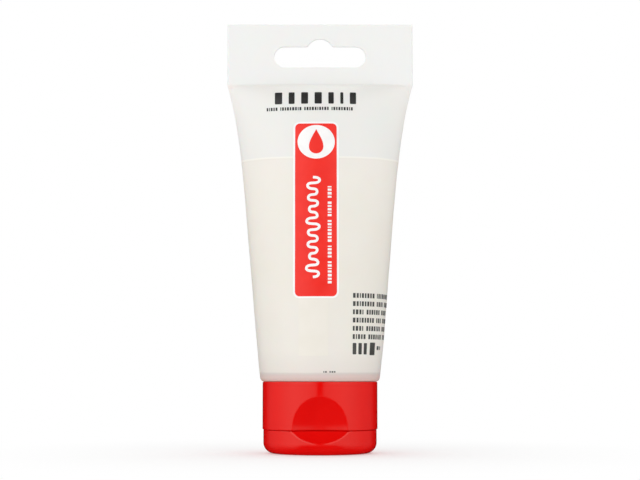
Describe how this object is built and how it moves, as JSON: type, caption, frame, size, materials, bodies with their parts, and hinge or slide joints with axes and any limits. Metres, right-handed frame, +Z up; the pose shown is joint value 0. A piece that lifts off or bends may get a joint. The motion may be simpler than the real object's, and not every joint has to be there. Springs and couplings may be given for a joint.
{
  "type": "paint tube",
  "caption": "Soft squeeze tube of paint with a flat sealed tail and hang slot, standing on a screw-on cap whose flip-top lid closes the spout.",
  "frame": {"origin": "on the surface that the tube stands on, under the middle of the cap", "axes": "+Z up the tube from the cap to the sealed tail, +X along the tail to the viewer's right, and the printed front faces -Y, with the lid's hinge at the back"},
  "size_m": [0.0628, 0.04, 0.1444],
  "materials": {
    "sleeve_film": "satin white polyethylene film, slightly translucent",
    "head_plastic": "natural translucent polyethylene, moulded",
    "paint": "buff water-based paint",
    "liner_foam": "white expanded polyethylene",
    "cap_plastic": "red polypropylene, moulded, semi-gloss"
  },
  "bodies": {
    "tube": {"tube_sleeve": "sleeve_film", "tube_head": "head_plastic", "paint_fill": "paint"},
    "liner": {"cap_liner": "liner_foam"},
    "cap": {"cap_base": "cap_plastic"},
    "hinge_web": {"hinge_film_left": "cap_plastic", "hinge_film_right": "cap_plastic"},
    "strap": {"snap_strap": "cap_plastic"},
    "lid": {"cap_lid": "cap_plastic"}
  },
  "joints": [
    {"name": "cap_lift", "type": "slide", "parent": "tube", "child": "liner", "axis": [0, 0, -1], "range_m": [0, 0.0091]},
    {"name": "cap_turn", "type": "hinge", "parent": "liner", "child": "cap", "pos_m": [0, 0, 0.0113], "axis": [0, 0, -1], "range_deg": [0, 1080]},
    {"name": "lid_flip", "type": "hinge", "parent": "cap", "child": "lid", "pos_m": [0, 0.0175, 0.00785], "axis": [1, 0, 0], "range_deg": [0, 120]},
    {"name": "film_bend", "type": "hinge", "parent": "cap", "child": "hinge_web", "pos_m": [0, 0.0175, 0.00785], "axis": [1, 0, 0], "range_deg": [0, 60.5]},
    {"name": "strap_shift", "type": "slide", "parent": "hinge_web", "child": "strap", "axis": [0, 1, 0], "range_m": [0, 0.00262]}
  ],
  "couplings": [
    {"joint": "cap_lift", "follows": "cap_turn", "m_per_rad": 0.00047746},
    {"joint": "film_bend", "follows": "lid_flip", "ratio": 0.5},
    {"joint": "strap_shift", "follows": "lid_flip", "m_per_rad": 0.0012414}
  ]
}
